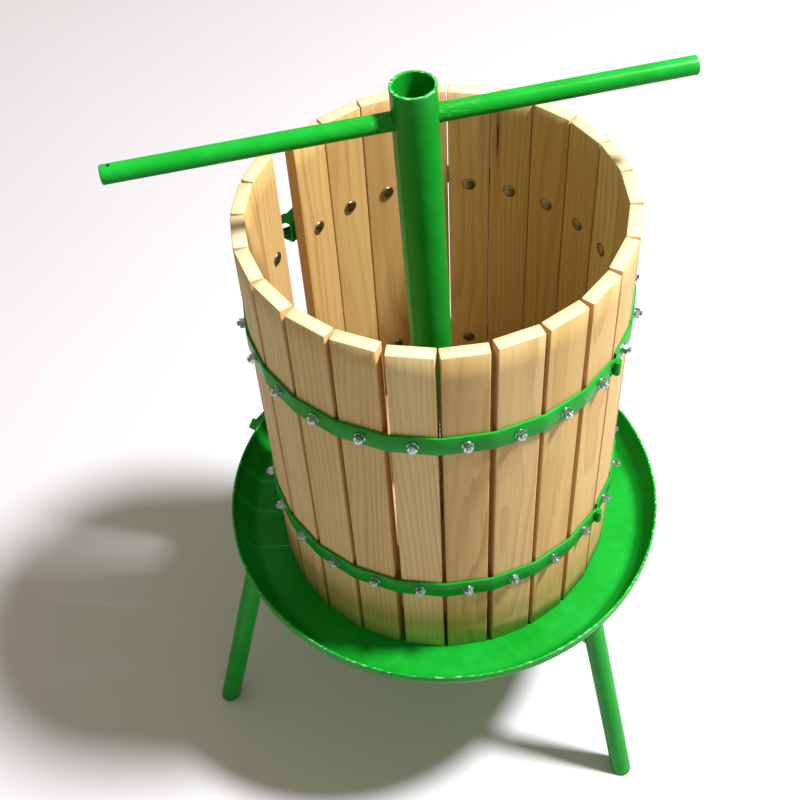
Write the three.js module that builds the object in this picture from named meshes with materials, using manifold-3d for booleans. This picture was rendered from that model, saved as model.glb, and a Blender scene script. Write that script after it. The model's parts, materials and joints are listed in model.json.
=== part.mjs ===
// Apple cider press: a slatted wooden basket in two half-round parts stands in a round steel tray
// on three splayed legs. A fixed spindle rises through the basket. A press tube with a nut in its
// foot is turned down the spindle by a crossbar and pushes on blocks over a split pressing plate.
// Millimetres, +Z up, standing on Z = 0, with the origin under the middle of the bounding box.
// Azimuth 0 faces -Y and grows towards +X: a piece is drawn at azimuth 0 and turned about Z.
import * as THREE from "three";
import { mergeVertices } from "three/addons/utils/BufferGeometryUtils.js";
import Module from "manifold-3d";

const wasm = await Module();
wasm.setup();

// ---- driving dimensions ----
const GAP = 0.3; // between pieces that touch
const AXIS_X = 29.7; // the press axis, from the middle of the footprint
const AXIS_Y = -32.3;
const TRAY_Z = 290; // height of the tray floor above the ground

const TRAY_FLOOR_R = 260;
const TRAY_RIM_R = 285.5;
const TRAY_RIM_HEIGHT = 44.4;
const TRAY_LIP_Z = 30; // where the sloping wall turns up into an upright lip
const TRAY_SHEET = 3;
const TRAY_CORNER_R = 7;
const TRAY_HOLE_R = 17;
const TRAY_SIDES = 60;

const SPOUT_AZIMUTH = 233.5;
const SPOUT_WIDTH = 50;
const SPOUT_WALL_HEIGHT = 22;
const SPOUT_LIP_R = 322;
const SPOUT_START_R = 240; // inside the dish, before it is cut back to the wall
const SPOUT_SLOPE = 4; // degrees, falling outwards
const SPOUT_BEVEL = 28; // degrees from upright, at the mouth

const LEGS = [
  ["left", -72],
  ["right", 41],
  ["back", 165],
];
const LEG_R = 13.5;
const LEG_WALL = 2.5;
const LEG_TOP_R = 269; // distance from the press axis at the tray floor
const LEG_FOOT_R = 348; // and on the ground
const LEG_END_PLUG = 12;
const LEG_COPE_Z = 28; // how far up the dish's wall the leg reaches

const BASE_PLATE_R = 70;
const BASE_PLATE_HEIGHT = 8;
const BASE_PLATE_HOLE_R = 16;
const BRACE_WIDTH = 25;
const BRACE_HEIGHT = 22;
const BRACE_START_R = 72;
const BRACE_END_R = 270; // before it is cut back to the leg

const BASKET_R = 215; // from the axis to the outer faces of the slats
const SLATS_PER_HALF = 12;
const SLAT_PITCH = 14.754; // degrees
const SLAT_WIDTH = 50.8;
const SLAT_THICKNESS = 15.4;
const SLAT_HEIGHT = 542;
const SLAT_CHAMFER = 1;
const HINGE_AZIMUTH = 55.9;
const SEAM_AZIMUTH = HINGE_AZIMUTH + 180;

// The rear half is bent to a slightly tighter arc than the front half, about a centre of its own,
// so that its free end stands inside the front half's.
const REAR_CENTRE = [11.2, 4.5];
const REAR_INSET = 7.75; // how much smaller its radius is
const REAR_HINGE_AZIMUTH = 53.15; // where the hinge lies, seen from that centre
const REAR_PITCH = 15.26; // degrees
const REAR_LATCH_AZIMUTH = 233.55;

const HOOP_HEIGHTS = [
  ["lower", 135],
  ["upper", 407],
];
const HOOP_R = 216.9; // inside the strip
const HOOP_THICKNESS = 3;
const HOOP_WIDTH = 26;
const HOOP_END_INSET = 2; // from the edge of the last slat

const KNUCKLE_AXIS_R = 222.5;
const KNUCKLE_R = 4.4;
const KNUCKLE_HALF = 10; // half height of the barrel
const KNUCKLE_GAP = 0.5;
const KNUCKLE_MIDDLE = 3.1; // half height of the rear half's knuckle
const KNUCKLE_TAB = [217.3, 220.1]; // inner and outer radius of the tab that carries a knuckle
const HINGE_PIN_R = 2.3;
const HINGE_PIN_PROUD = 0.5;

const CATCH_OFFSET = 5.2; // degrees from the seam
const CATCH_HALF_WIDTH = 7;
const CATCH_HALF_HEIGHT = 10;
const HOOK_REACH = 11; // from the plate's back
const HOOK_THICKNESS = 3;
const HOOK_TIP = 6;
const LATCH_SEAT = 0.5; // weld gap under a latch base or a catch
const LATCH_HEIGHT = 30;
const LATCH_SHEET = 2.5;
const LATCH_LENGTH = 19;
const LATCH_PIVOT = [3, 233]; // x and distance from the axis, at azimuth 0
const BAIL_PIVOT = [-4.5, 232];
const LEVER_LENGTH = 66;
const LEVER_SHEET = 2;
const LEVER_HALF_HEIGHT = 11.9;
const LEVER_ROUND_R = 5.5; // round the pivot
const EAR_ROUND_R = 6.5;
const RIVET_R = 2.5;
const RIVET_REACH = 3.1; // past the ear
const BAIL_WIRE_R = 1.9;
const BAIL_LENGTH = 44;
const BAIL_HALF_HEIGHT = 6;
const BAIL_SWING = 30; // degrees that the bail stands off the basket

const LEAN = 1.43; // degrees that the spindle leans towards -X
const THREAD_R = 14;
const SPINDLE_TOP = 500;
const SPINDLE_BOTTOM = -42;
const COLLAR_R = 35;
const COLLAR_Z = [1.2, 13];
const BASE_NUT_FLATS = 46;
const BASE_NUT_Z = [-35, -13.5];

const RING_R = 36;
const RING_Z = [193, 199];
const NUT_FLANGE_R = 28;
const NUT_FLANGE_Z = [199.4, 211];
const NUT_TOP = 236;
const TUBE_R = 24.15;
const TUBE_BORE_R = 20.9;
const TUBE_TOP = 694;

const BAR_R = 10;
const BAR_Z = 656;
const BAR_TURN = 9; // degrees from +X
const BAR_ENDS = [-311, 290];
const BAR_END_HOLE_R = 2.3;
const BAR_END_HOLE_INSET = 9;

const PLATE_R = 182;
const PLATE_HOLE_R = 40;
const PLATE_THICKNESS = 28;
const PLATE_SPLIT = 3;
const BATTEN_SIZE = [240, 60, 30];
const BATTEN_Y = 105;
const BLOCK_SIZE = [50, 250, 39.4];
const BLOCK_X = 44;

const WIRE = { color: 0x30322f, roughness: 0.45, metalness: 0.8 };
const PAINT = { color: 0x22a52c, roughness: 0.3, metalness: 0.1 };
const WOOD = { color: 0xe2bd84, roughness: 0.65, metalness: 0 };
const STEEL = { color: 0xb4b6b4, roughness: 0.4, metalness: 0.9 };

// ---- solids ----
const radians = THREE.MathUtils.degToRad;

// A closed geometry as a manifold-3d solid.
function solid(geometry) {
  const bare = geometry.clone();
  bare.deleteAttribute("normal");
  bare.deleteAttribute("uv");
  const merged = mergeVertices(bare, 1e-4);
  const mesh = new wasm.Mesh({
    numProp: 3,
    vertProperties: new Float32Array(merged.attributes.position.array),
    triVerts: new Uint32Array(merged.index.array),
  });
  return new wasm.Manifold(mesh);
}

function geometryOf(body) {
  const mesh = body.getMesh();
  const geometry = new THREE.BufferGeometry();
  geometry.setAttribute("position", new THREE.Float32BufferAttribute(mesh.vertProperties, 3));
  geometry.setIndex([...mesh.triVerts]);
  const flat = geometry.toNonIndexed();
  flat.computeVertexNormals();
  return flat;
}

function join(...geometries) {
  return geometryOf(geometries.map(solid).reduce((whole, piece) => whole.add(piece)));
}

function cut(geometry, ...holes) {
  return geometryOf(holes.map(solid).reduce((rest, hole) => rest.subtract(hole), solid(geometry)));
}

function common(a, b) {
  return geometryOf(solid(a).intersect(solid(b)));
}

function box(x0, x1, y0, y1, z0, z1) {
  const geometry = new THREE.BoxGeometry(x1 - x0, y1 - y0, z1 - z0);
  return geometry.translate((x0 + x1) / 2, (y0 + y1) / 2, (z0 + z1) / 2);
}

// An upright cylinder.
function post(radius, z0, z1, x = 0, y = 0, sides = 32) {
  const geometry = new THREE.CylinderGeometry(radius, radius, z1 - z0, sides);
  return geometry.rotateX(Math.PI / 2).translate(x, y, (z0 + z1) / 2);
}

// A profile of [radius, z] points, turned round the Z axis.
function turned(points, sides = 36) {
  const profile = points.map(([r, z]) => new THREE.Vector2(r, z));
  profile.push(profile[0].clone());
  return new THREE.LatheGeometry(profile, sides).rotateX(Math.PI / 2);
}

function ring(inner, outer, z0, z1, sides = 36) {
  const corners = [
    [inner, z0],
    [outer, z0],
    [outer, z1],
    [inner, z1],
  ];
  return turned(corners, sides);
}

function extruded(shape, z0, z1, segments = 12) {
  const options = { depth: z1 - z0, bevelEnabled: false, curveSegments: segments };
  return new THREE.ExtrudeGeometry(shape, options).translate(0, 0, z0);
}

// A curved strip between two azimuths.
function strip(inner, outer, from, to, z0, z1, segments) {
  const start = radians(from - 90);
  const end = radians(to - 90);
  const shape = new THREE.Shape();
  shape.absarc(0, 0, outer, start, end, false);
  shape.absarc(0, 0, inner, end, start, true);
  return extruded(shape, z0, z1, segments);
}

function mesh(name, geometry, finish) {
  const made = new THREE.Mesh(geometry, new THREE.MeshStandardMaterial(finish));
  made.name = name;
  return made;
}

// Holds pieces drawn at azimuth 0 and turns them to their azimuth.
function at(azimuth, ...pieces) {
  const group = new THREE.Group();
  group.rotation.z = radians(azimuth);
  group.add(...pieces);
  return group;
}

// ---- tray, spout and legs ----

// Half section of the dish: a flat floor, a round corner, a sloping wall and an upright lip.
function traySection(hole, grow) {
  const wallRun = TRAY_RIM_R - TRAY_SHEET - TRAY_FLOOR_R;
  const wallSlope = wallRun / TRAY_LIP_Z;
  const outerFloor = TRAY_FLOOR_R + grow;
  const path = new THREE.Path();
  path.moveTo(hole, -TRAY_SHEET - grow);
  path.lineTo(outerFloor - TRAY_CORNER_R, -TRAY_SHEET - grow);
  const outerKnee = outerFloor + TRAY_SHEET + TRAY_CORNER_R * wallSlope;
  path.quadraticCurveTo(outerFloor + 1, -TRAY_SHEET - grow, outerKnee, TRAY_CORNER_R);
  path.lineTo(TRAY_RIM_R + grow, TRAY_LIP_Z);
  path.lineTo(TRAY_RIM_R + grow, TRAY_RIM_HEIGHT);
  return { path, wallSlope };
}

// The dish filled up to above its rim and grown by the gap, to cut pieces that meet its outside.
// azimuth is that of the piece, so that the facets of both agree.
function dishSpace(azimuth) {
  const above = TRAY_RIM_HEIGHT + 30;
  const { path } = traySection(0, GAP);
  path.lineTo(TRAY_RIM_R + GAP, above);
  path.lineTo(0, above);
  const space = new THREE.LatheGeometry(path.getPoints(3), TRAY_SIDES).rotateX(Math.PI / 2);
  return space.rotateZ(radians(-azimuth));
}

function tray() {
  const { path, wallSlope } = traySection(TRAY_HOLE_R, 0);
  path.lineTo(TRAY_RIM_R - TRAY_SHEET, TRAY_RIM_HEIGHT);
  path.lineTo(TRAY_RIM_R - TRAY_SHEET, TRAY_LIP_Z);
  path.lineTo(TRAY_FLOOR_R + TRAY_CORNER_R * wallSlope, TRAY_CORNER_R);
  path.quadraticCurveTo(TRAY_FLOOR_R, 0, TRAY_FLOOR_R - TRAY_CORNER_R, 0);
  path.lineTo(TRAY_HOLE_R, 0);
  const dish = turned(path.getPoints(3).map((p) => [p.x, p.y]), TRAY_SIDES);
  const half = SPOUT_WIDTH / 2 - TRAY_SHEET;
  const start = -TRAY_FLOOR_R + TRAY_CORNER_R;
  const notch = box(-half, half, -TRAY_RIM_R - 10, start, 0, TRAY_RIM_HEIGHT + 10);
  return cut(dish, notch.rotateZ(radians(SPOUT_AZIMUTH)));
}

// A sloping channel that meets the outside of the dish.
function spout() {
  const half = SPOUT_WIDTH / 2;
  const inside = half - TRAY_SHEET;
  const high = 2 * TRAY_RIM_HEIGHT;
  const channel = box(-half, half, -SPOUT_LIP_R, -SPOUT_START_R, -TRAY_SHEET, SPOUT_WALL_HEIGHT);
  const bore = box(-inside, inside, -SPOUT_LIP_R - 5, -SPOUT_START_R + 5, 0, high);
  const bevel = box(-half - 5, half + 5, -20, 0, -2, high).rotateX(radians(-SPOUT_BEVEL));
  bevel.translate(0, -SPOUT_LIP_R, 1);
  const bent = cut(channel, bore, bevel);
  bent.translate(0, TRAY_FLOOR_R, 0).rotateX(radians(SPOUT_SLOPE)).translate(0, -TRAY_FLOOR_R, -GAP);
  return cut(bent, dishSpace(SPOUT_AZIMUTH));
}

// A rod along the middle of a splayed leg, from a distance above its foot to well above the tray.
function legRod(radius, fromFoot) {
  const reach = LEG_FOOT_R - LEG_TOP_R;
  const half = Math.hypot(TRAY_Z, reach) / 2;
  const rod = post(radius, -half + fromFoot, half + 80, 0, 0, 24);
  rod.rotateX(-Math.atan2(reach, TRAY_Z));
  return rod.translate(0, -(LEG_TOP_R + LEG_FOOT_R) / 2, -TRAY_Z / 2);
}

// A splayed tube, level at the foot, coped at the top to the outside of the dish, with its foot
// closed by a welded plug.
function leg(azimuth) {
  const slab = box(-100, 100, -500, -100, -TRAY_Z, LEG_COPE_Z);
  const outer = common(legRod(LEG_R, -40), slab);
  return cut(outer, legRod(LEG_R - LEG_WALL, LEG_END_PLUG), dishSpace(azimuth));
}

// A flat bar on edge from the base plate to the leg.
function brace() {
  const top = -TRAY_SHEET - GAP;
  const half = BRACE_WIDTH / 2;
  const bar = box(-half, half, -BRACE_END_R, -BRACE_START_R, top - BRACE_HEIGHT, top);
  return cut(bar, legRod(LEG_R + GAP, -40));
}

function frame() {
  const group = new THREE.Group();
  const plateTop = -TRAY_SHEET - GAP;
  group.add(mesh("tray", tray(), PAINT));
  group.add(at(SPOUT_AZIMUTH, mesh("spout", spout(), PAINT)));
  const plateBottom = plateTop - BASE_PLATE_HEIGHT;
  const basePlate = ring(BASE_PLATE_HOLE_R, BASE_PLATE_R, plateBottom, plateTop);
  group.add(mesh("base_plate", basePlate, PAINT));
  for (const [side, azimuth] of LEGS) {
    group.add(at(azimuth, mesh("leg_" + side, leg(azimuth), PAINT)));
    group.add(at(azimuth, mesh("brace_" + side, brace(), PAINT)));
  }
  return group;
}

// ---- basket ----

function slat() {
  const half = SLAT_WIDTH / 2;
  const outer = -BASKET_R;
  const inner = -BASKET_R + SLAT_THICKNESS;
  const c = SLAT_CHAMFER;
  const shape = new THREE.Shape();
  shape.moveTo(-half + c, outer);
  shape.lineTo(half - c, outer);
  shape.lineTo(half, outer + c);
  shape.lineTo(half, inner - c);
  shape.lineTo(half - c, inner);
  shape.lineTo(-half + c, inner);
  shape.lineTo(-half, inner - c);
  shape.lineTo(-half, outer + c);
  shape.closePath();
  return extruded(shape, GAP, GAP + SLAT_HEIGHT);
}

// Places pieces of the rear half, drawn at azimuth 0 on the front half's radius.
function atRear(azimuth, ...pieces) {
  const inset = new THREE.Group();
  inset.position.y = REAR_INSET;
  inset.add(...pieces);
  const group = at(azimuth, inset);
  group.position.set(...REAR_CENTRE, 0);
  return group;
}

// The strip of a half hoop, from beside its knuckles to its end at the seam.
function hoopBand(side, low, high) {
  const rear = side > 0;
  const inner = rear ? HOOP_R - REAR_INSET : HOOP_R;
  const pitch = rear ? REAR_PITCH : SLAT_PITCH;
  const start = rear ? REAR_HINGE_AZIMUTH : HINGE_AZIMUTH;
  const edge = THREE.MathUtils.radToDeg((SLAT_WIDTH / 2 - HOOP_END_INSET) / inner);
  const clear = THREE.MathUtils.radToDeg((KNUCKLE_R + 1) / inner);
  const far = (SLATS_PER_HALF - 0.5) * pitch + edge;
  const span = [side * clear, side * far].sort((a, b) => a - b);
  const band = strip(inner, inner + HOOP_THICKNESS, start + span[0], start + span[1], low, high, 24);
  return rear ? band.translate(...REAR_CENTRE, 0) : band;
}

// One half hoop, from its knuckles at the hinge to its end at the seam. side is -1 for the front
// half, which runs to lower azimuths, and 1 for the rear half.
function hoop(side, z) {
  const low = z - KNUCKLE_HALF;
  const high = z + KNUCKLE_HALF;
  const middle = [[z - KNUCKLE_MIDDLE, z + KNUCKLE_MIDDLE]];
  const ends = [
    [low, z - KNUCKLE_MIDDLE - KNUCKLE_GAP],
    [z + KNUCKLE_MIDDLE + KNUCKLE_GAP, high],
  ];
  const levels = side > 0 ? middle : ends;
  const pieces = [hoopBand(side, z - HOOP_WIDTH / 2, z + HOOP_WIDTH / 2)];
  const holes = [];
  const [tabInner, tabOuter] = KNUCKLE_TAB;
  for (const [z0, z1] of levels) {
    const reach = side * (KNUCKLE_R + 3);
    const tab = box(Math.min(0, reach), Math.max(0, reach), -tabOuter, -tabInner, z0, z1);
    pieces.push(tab.rotateZ(radians(HINGE_AZIMUTH)));
    pieces.push(post(KNUCKLE_R, z0, z1, 0, -KNUCKLE_AXIS_R, 20).rotateZ(radians(HINGE_AZIMUTH)));
    const hole = post(HINGE_PIN_R + GAP, z0 - 5, z1 + 5, 0, -KNUCKLE_AXIS_R, 20);
    holes.push(hole.rotateZ(radians(HINGE_AZIMUTH)));
  }
  return cut(join(...pieces), ...holes);
}

// A plain rod, almost flush with the ends of the barrel.
function hingePin(z) {
  const half = KNUCKLE_HALF + HINGE_PIN_PROUD;
  return post(HINGE_PIN_R, z - half, z + half, 0, -KNUCKLE_AXIS_R, 20);
}

// A channel on the hoop with two ears, whose stub rivets carry the lever.
function latchBase(z) {
  const seat = HOOP_R + HOOP_THICKNESS + LATCH_SEAT;
  const half = LATCH_LENGTH / 2;
  const low = z - LATCH_HEIGHT / 2;
  const high = z + LATCH_HEIGHT / 2;
  const [px, pr] = LATCH_PIVOT;
  const pieces = [box(-half, half, -seat - LATCH_SHEET, -seat, low, high)];
  for (const z0 of [low, high - LATCH_SHEET]) {
    const ear = new THREE.Shape();
    ear.moveTo(-half, -seat - 1);
    ear.lineTo(-half + 4, -pr);
    ear.absarc(px, -pr, EAR_ROUND_R, Math.PI, 2 * Math.PI, false);
    ear.lineTo(half, -seat - 1);
    ear.closePath();
    pieces.push(extruded(ear, z0, z0 + LATCH_SHEET, 8));
  }
  const stub = LATCH_HEIGHT / 2 - LATCH_SHEET - RIVET_REACH;
  pieces.push(post(RIVET_R, z + stub, high - 1, px, -pr, 16));
  pieces.push(post(RIVET_R, low + 1, z - stub, px, -pr, 16));
  return join(...pieces);
}

// A handle with two side flanges that turn on the base's rivets and carry the bail.
function latchLever(z) {
  const [px, pr] = LATCH_PIVOT;
  const [qx, qr] = BAIL_PIVOT;
  const outer = pr + LEVER_ROUND_R;
  const pieces = [];
  for (const side of [-1, 1]) {
    const inner = z + side * (LEVER_HALF_HEIGHT - LEVER_SHEET);
    const faces = [inner, z + side * LEVER_HALF_HEIGHT].sort((a, b) => a - b);
    const flange = new THREE.Shape();
    flange.moveTo(-24, -outer);
    flange.lineTo(px, -outer);
    flange.absarc(px, -pr, LEVER_ROUND_R, -Math.PI / 2, Math.PI / 2, false);
    flange.lineTo(qx - 5, -qr + 4.5);
    flange.closePath();
    pieces.push(extruded(flange, ...faces, 8));
  }
  const low = z - LEVER_HALF_HEIGHT;
  const high = z + LEVER_HALF_HEIGHT;
  pieces.push(box(-LEVER_LENGTH, qx - 6, -outer, -outer + LEVER_SHEET, low, high));
  const rivets = post(RIVET_R + GAP + 0.2, z - 20, z + 20, px, -pr, 16);
  const eyes = post(BAIL_WIRE_R + GAP + 0.1, z - 20, z + 20, qx, -qr, 16);
  return cut(join(...pieces), rivets, eyes);
}

// A wire loop whose ends turn out into the lever's flanges.
function latchBail() {
  const tip = LEVER_HALF_HEIGHT - 0.4;
  const h = BAIL_HALF_HEIGHT;
  const bend = 4;
  const path = new THREE.CurvePath();
  const run = (a, b) => path.add(new THREE.LineCurve3(new THREE.Vector3(...a), new THREE.Vector3(...b)));
  const turn = (a, b, c) => {
    const points = [a, b, c].map((p) => new THREE.Vector3(...p));
    path.add(new THREE.QuadraticBezierCurve3(...points));
  };
  const far = BAIL_LENGTH;
  run([0, 0, tip], [0, 0, h + bend]);
  turn([0, 0, h + bend], [0, 0, h], [bend, 0, h]);
  run([bend, 0, h], [far - bend, 0, h]);
  turn([far - bend, 0, h], [far, 0, h], [far, 0, h - bend]);
  run([far, 0, h - bend], [far, 0, bend - h]);
  turn([far, 0, bend - h], [far, 0, -h], [far - bend, 0, -h]);
  run([far - bend, 0, -h], [bend, 0, -h]);
  turn([bend, 0, -h], [0, 0, -h], [0, 0, -h - bend]);
  run([0, 0, -h - bend], [0, 0, -tip]);
  const section = new THREE.Shape();
  section.absarc(0, 0, BAIL_WIRE_R, 0, 2 * Math.PI, false);
  const options = { steps: 44, extrudePath: path, curveSegments: 4, bevelEnabled: false };
  return new THREE.ExtrudeGeometry(section, options);
}

function bailInPlace(name, z) {
  const piece = mesh(name, latchBail(), WIRE);
  piece.position.set(BAIL_PIVOT[0], -BAIL_PIVOT[1], z);
  piece.rotation.z = radians(-BAIL_SWING);
  return piece;
}

// A plate on the front half with a hook that the bail drops behind.
function latchCatch(z) {
  const seat = -(HOOP_R + HOOP_THICKNESS + LATCH_SEAT);
  const tall = HOOK_THICKNESS;
  const w = CATCH_HALF_WIDTH;
  const h = CATCH_HALF_HEIGHT;
  const plate = box(-w, w, seat - LATCH_SHEET, seat, z - h, z + h);
  const neck = box(-HOOK_THICKNESS, 0, seat - HOOK_REACH, seat - 1, z - tall, z + tall);
  const outer = seat - HOOK_REACH;
  const tip = box(-HOOK_THICKNESS, HOOK_TIP, outer, outer + LATCH_SHEET, z - tall, z + tall);
  return join(plate, neck, tip);
}

function slatName(half, index) {
  return "slat_" + half + "_" + String(index + 1).padStart(2, "0");
}

function basket() {
  const group = new THREE.Group();
  for (let i = 0; i < SLATS_PER_HALF; i += 1) {
    const front = HINGE_AZIMUTH - (i + 0.5) * SLAT_PITCH;
    const rear = REAR_HINGE_AZIMUTH + (i + 0.5) * REAR_PITCH;
    group.add(at(front, mesh(slatName("front", i), slat(), WOOD)));
    group.add(atRear(rear, mesh(slatName("rear", i), slat(), WOOD)));
  }
  for (const [level, z] of HOOP_HEIGHTS) {
    group.add(mesh(level + "_hoop_front", hoop(-1, z), PAINT));
    group.add(mesh(level + "_hoop_rear", hoop(1, z), PAINT));
    group.add(at(HINGE_AZIMUTH, mesh("hinge_pin_" + level, hingePin(z), PAINT)));
    const base = mesh("latch_base_" + level, latchBase(z), PAINT);
    const lever = mesh("latch_lever_" + level, latchLever(z), PAINT);
    const bail = bailInPlace("latch_bail_" + level, z);
    group.add(atRear(REAR_LATCH_AZIMUTH, base, lever, bail));
    group.add(at(SEAM_AZIMUTH + CATCH_OFFSET, mesh("latch_catch_" + level, latchCatch(z), PAINT)));
  }
  return group;
}

// ---- pressing plate ----

function plateHalf(side) {
  const shape = new THREE.Shape();
  const start = side > 0 ? 0 : Math.PI;
  shape.absarc(0, 0, PLATE_R, start, start + Math.PI, false);
  shape.absarc(0, 0, PLATE_HOLE_R, start + Math.PI, start, true);
  const whole = extruded(shape, GAP, GAP + PLATE_THICKNESS, 20);
  const past = PLATE_R + 10;
  const keep = [PLATE_SPLIT / 2, past].map((y) => y * side).sort((a, b) => a - b);
  return common(whole, box(-past, past, ...keep, 0, 2 * PLATE_THICKNESS));
}

function pressingPlate() {
  const group = new THREE.Group();
  const battenZ = 2 * GAP + PLATE_THICKNESS;
  const blockZ = battenZ + BATTEN_SIZE[2] + GAP;
  for (const [name, side] of [["front", -1], ["back", 1]]) {
    group.add(mesh("plate_" + name, plateHalf(side), WOOD));
    const batten = mesh("batten_" + name, new THREE.BoxGeometry(...BATTEN_SIZE), WOOD);
    batten.position.set(0, side * BATTEN_Y, battenZ + BATTEN_SIZE[2] / 2);
    group.add(batten);
  }
  for (const [name, side] of [["left", -1], ["right", 1]]) {
    const block = mesh("block_" + name, new THREE.BoxGeometry(...BLOCK_SIZE), WOOD);
    block.position.set(side * BLOCK_X, 0, blockZ + BLOCK_SIZE[2] / 2);
    group.add(block);
  }
  return group;
}

// ---- spindle and press head, on one leaning axis ----

function spindle() {
  const chamfer = 3;
  const root = THREAD_R - chamfer;
  const points = [
    [0, SPINDLE_BOTTOM],
    [root, SPINDLE_BOTTOM],
    [THREAD_R, SPINDLE_BOTTOM + chamfer],
    [THREAD_R, SPINDLE_TOP - chamfer],
    [root, SPINDLE_TOP],
    [0, SPINDLE_TOP],
  ].map(([r, z]) => new THREE.Vector2(r, z));
  return new THREE.LatheGeometry(points, 32).rotateX(Math.PI / 2);
}

function baseNut() {
  const hexagon = post(BASE_NUT_FLATS / Math.sqrt(3), ...BASE_NUT_Z, 0, 0, 6);
  return cut(hexagon, post(THREAD_R + GAP, -60, 20));
}

function pressNut() {
  const bore = THREAD_R + GAP + 0.05;
  const spigot = TUBE_BORE_R - GAP;
  const points = [
    [bore, NUT_FLANGE_Z[0]],
    [NUT_FLANGE_R, NUT_FLANGE_Z[0]],
    [NUT_FLANGE_R, NUT_FLANGE_Z[1]],
    [spigot, NUT_FLANGE_Z[1]],
    [spigot, NUT_TOP],
    [bore, NUT_TOP],
  ];
  return turned(points);
}

function pressTube() {
  const wall = ring(TUBE_BORE_R, TUBE_R, NUT_FLANGE_Z[1] + GAP, TUBE_TOP);
  const hole = new THREE.CylinderGeometry(BAR_R + GAP, BAR_R + GAP, 100, 24);
  hole.rotateZ(Math.PI / 2).rotateZ(radians(BAR_TURN)).translate(0, 0, BAR_Z);
  return cut(wall, hole);
}

function crossbar() {
  const chamfer = 1.5;
  const [left, right] = BAR_ENDS;
  const points = [
    [0, left],
    [BAR_R - chamfer, left],
    [BAR_R, left + chamfer],
    [BAR_R, right - chamfer],
    [BAR_R - chamfer, right],
    [0, right],
  ].map(([r, x]) => new THREE.Vector2(r, x));
  const rod = new THREE.LatheGeometry(points, 24).rotateZ(-Math.PI / 2);
  return cut(rod, post(BAR_END_HOLE_R, -20, 20, left + BAR_END_HOLE_INSET, 0, 12));
}

function screwWork() {
  const group = new THREE.Group();
  group.rotation.y = radians(-LEAN);
  group.add(mesh("spindle", spindle(), STEEL));
  group.add(mesh("spindle_collar", ring(THREAD_R + GAP, COLLAR_R, ...COLLAR_Z), PAINT));
  group.add(mesh("base_nut", baseNut(), STEEL));
  group.add(mesh("thrust_ring", ring(THREAD_R + 1, RING_R, ...RING_Z), STEEL));
  group.add(mesh("press_nut", pressNut(), STEEL));
  group.add(mesh("press_tube", pressTube(), PAINT));
  const bar = mesh("crossbar", crossbar(), PAINT);
  bar.position.z = BAR_Z;
  bar.rotation.z = radians(BAR_TURN);
  group.add(bar);
  return group;
}

const press = new THREE.Group();
press.position.set(AXIS_X, AXIS_Y, TRAY_Z);
press.add(frame(), basket(), pressingPlate(), screwWork());

export default press;
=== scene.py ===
"""Fine shapes, finishes, light and camera for the apple cider press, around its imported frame.

Everything is in metres, in the frame's own axes. Most pieces are drawn at azimuth 0, where
outwards from the press axis is -Y and up is +Z from the tray floor, and are then turned about the
axis: azimuths grow from -Y towards +X. Every mesh holds its resting place in its vertices.
"""
import json
import math
import random

import bmesh
import bpy
from mathutils import Matrix, Vector


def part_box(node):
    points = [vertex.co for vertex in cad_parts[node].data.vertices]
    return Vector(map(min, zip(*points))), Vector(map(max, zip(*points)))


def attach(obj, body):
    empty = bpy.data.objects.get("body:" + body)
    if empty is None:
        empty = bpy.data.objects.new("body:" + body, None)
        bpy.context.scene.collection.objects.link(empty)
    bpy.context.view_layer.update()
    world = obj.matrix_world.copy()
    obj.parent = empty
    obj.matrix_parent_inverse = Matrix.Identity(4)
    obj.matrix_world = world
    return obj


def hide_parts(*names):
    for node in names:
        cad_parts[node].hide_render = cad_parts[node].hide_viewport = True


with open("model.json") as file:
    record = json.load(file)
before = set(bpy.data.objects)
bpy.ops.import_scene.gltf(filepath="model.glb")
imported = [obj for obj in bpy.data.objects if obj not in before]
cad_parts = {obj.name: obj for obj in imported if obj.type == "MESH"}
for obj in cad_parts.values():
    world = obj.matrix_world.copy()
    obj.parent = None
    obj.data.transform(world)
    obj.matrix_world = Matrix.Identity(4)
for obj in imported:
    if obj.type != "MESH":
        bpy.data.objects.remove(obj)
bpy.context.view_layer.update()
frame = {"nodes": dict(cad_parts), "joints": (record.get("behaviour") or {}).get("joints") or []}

MM = 0.001
TAU = 2 * math.pi

# ---- dimensions, as in the frame ----
TRAY_SHEET = 3 * MM
TRAY_FLOOR_R = 260 * MM
TRAY_CORNER_R = 7 * MM
TRAY_HOLE_R = 17 * MM
TRAY_LIP_Z = 30 * MM  # where the sloping wall turns up into an upright lip
LIP_ROUND = 6 * MM
RIM_ROUND = 1.2 * MM
# Painted highlight: how much paler the tray's rim edge is painted, through the scuff pattern.
RIM_HIGHLIGHT = 0.7
SPOUT_AZIMUTH = 233.5
SPOUT_WIDTH = 50 * MM

LEG_AZIMUTHS = {"left": -72, "right": 41, "back": 165}
LEG_R = 13.5 * MM
LEG_WALL = 2.5 * MM
LEG_TOP_R = 269 * MM
LEG_FOOT_R = 348 * MM
LEG_PLUG = 12 * MM
FOOT_ROUND = 3.5 * MM
LEG_BEAD_R = 2.3 * MM
COLLAR_BEAD_R = 2 * MM

BASKET_R = 215 * MM
SLATS_PER_HALF = 12
SLAT_PITCH = 14.754
SLAT_WIDTH = 50.8 * MM
SLAT_THICKNESS = 15.4 * MM
SLAT_FOOT = 0.3 * MM
BOARD_END = 0.7 * MM  # how far the eased end of a board reaches
BOARD_ROUND = 1.5 * MM

# The rear half has a tighter arc about a centre of its own.
REAR_CENTRE = Vector((11.2 * MM, 4.5 * MM, 0))
REAR_INSET = 7.75 * MM
REAR_HINGE_AZIMUTH = 53.15
REAR_PITCH = 15.26
REAR_LATCH_AZIMUTH = 233.55
FRONT_TOPS_DROP = 5 * MM  # the slats in front are sawn a little short
FRONT_TOPS_SPREAD = 35  # degrees

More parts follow.
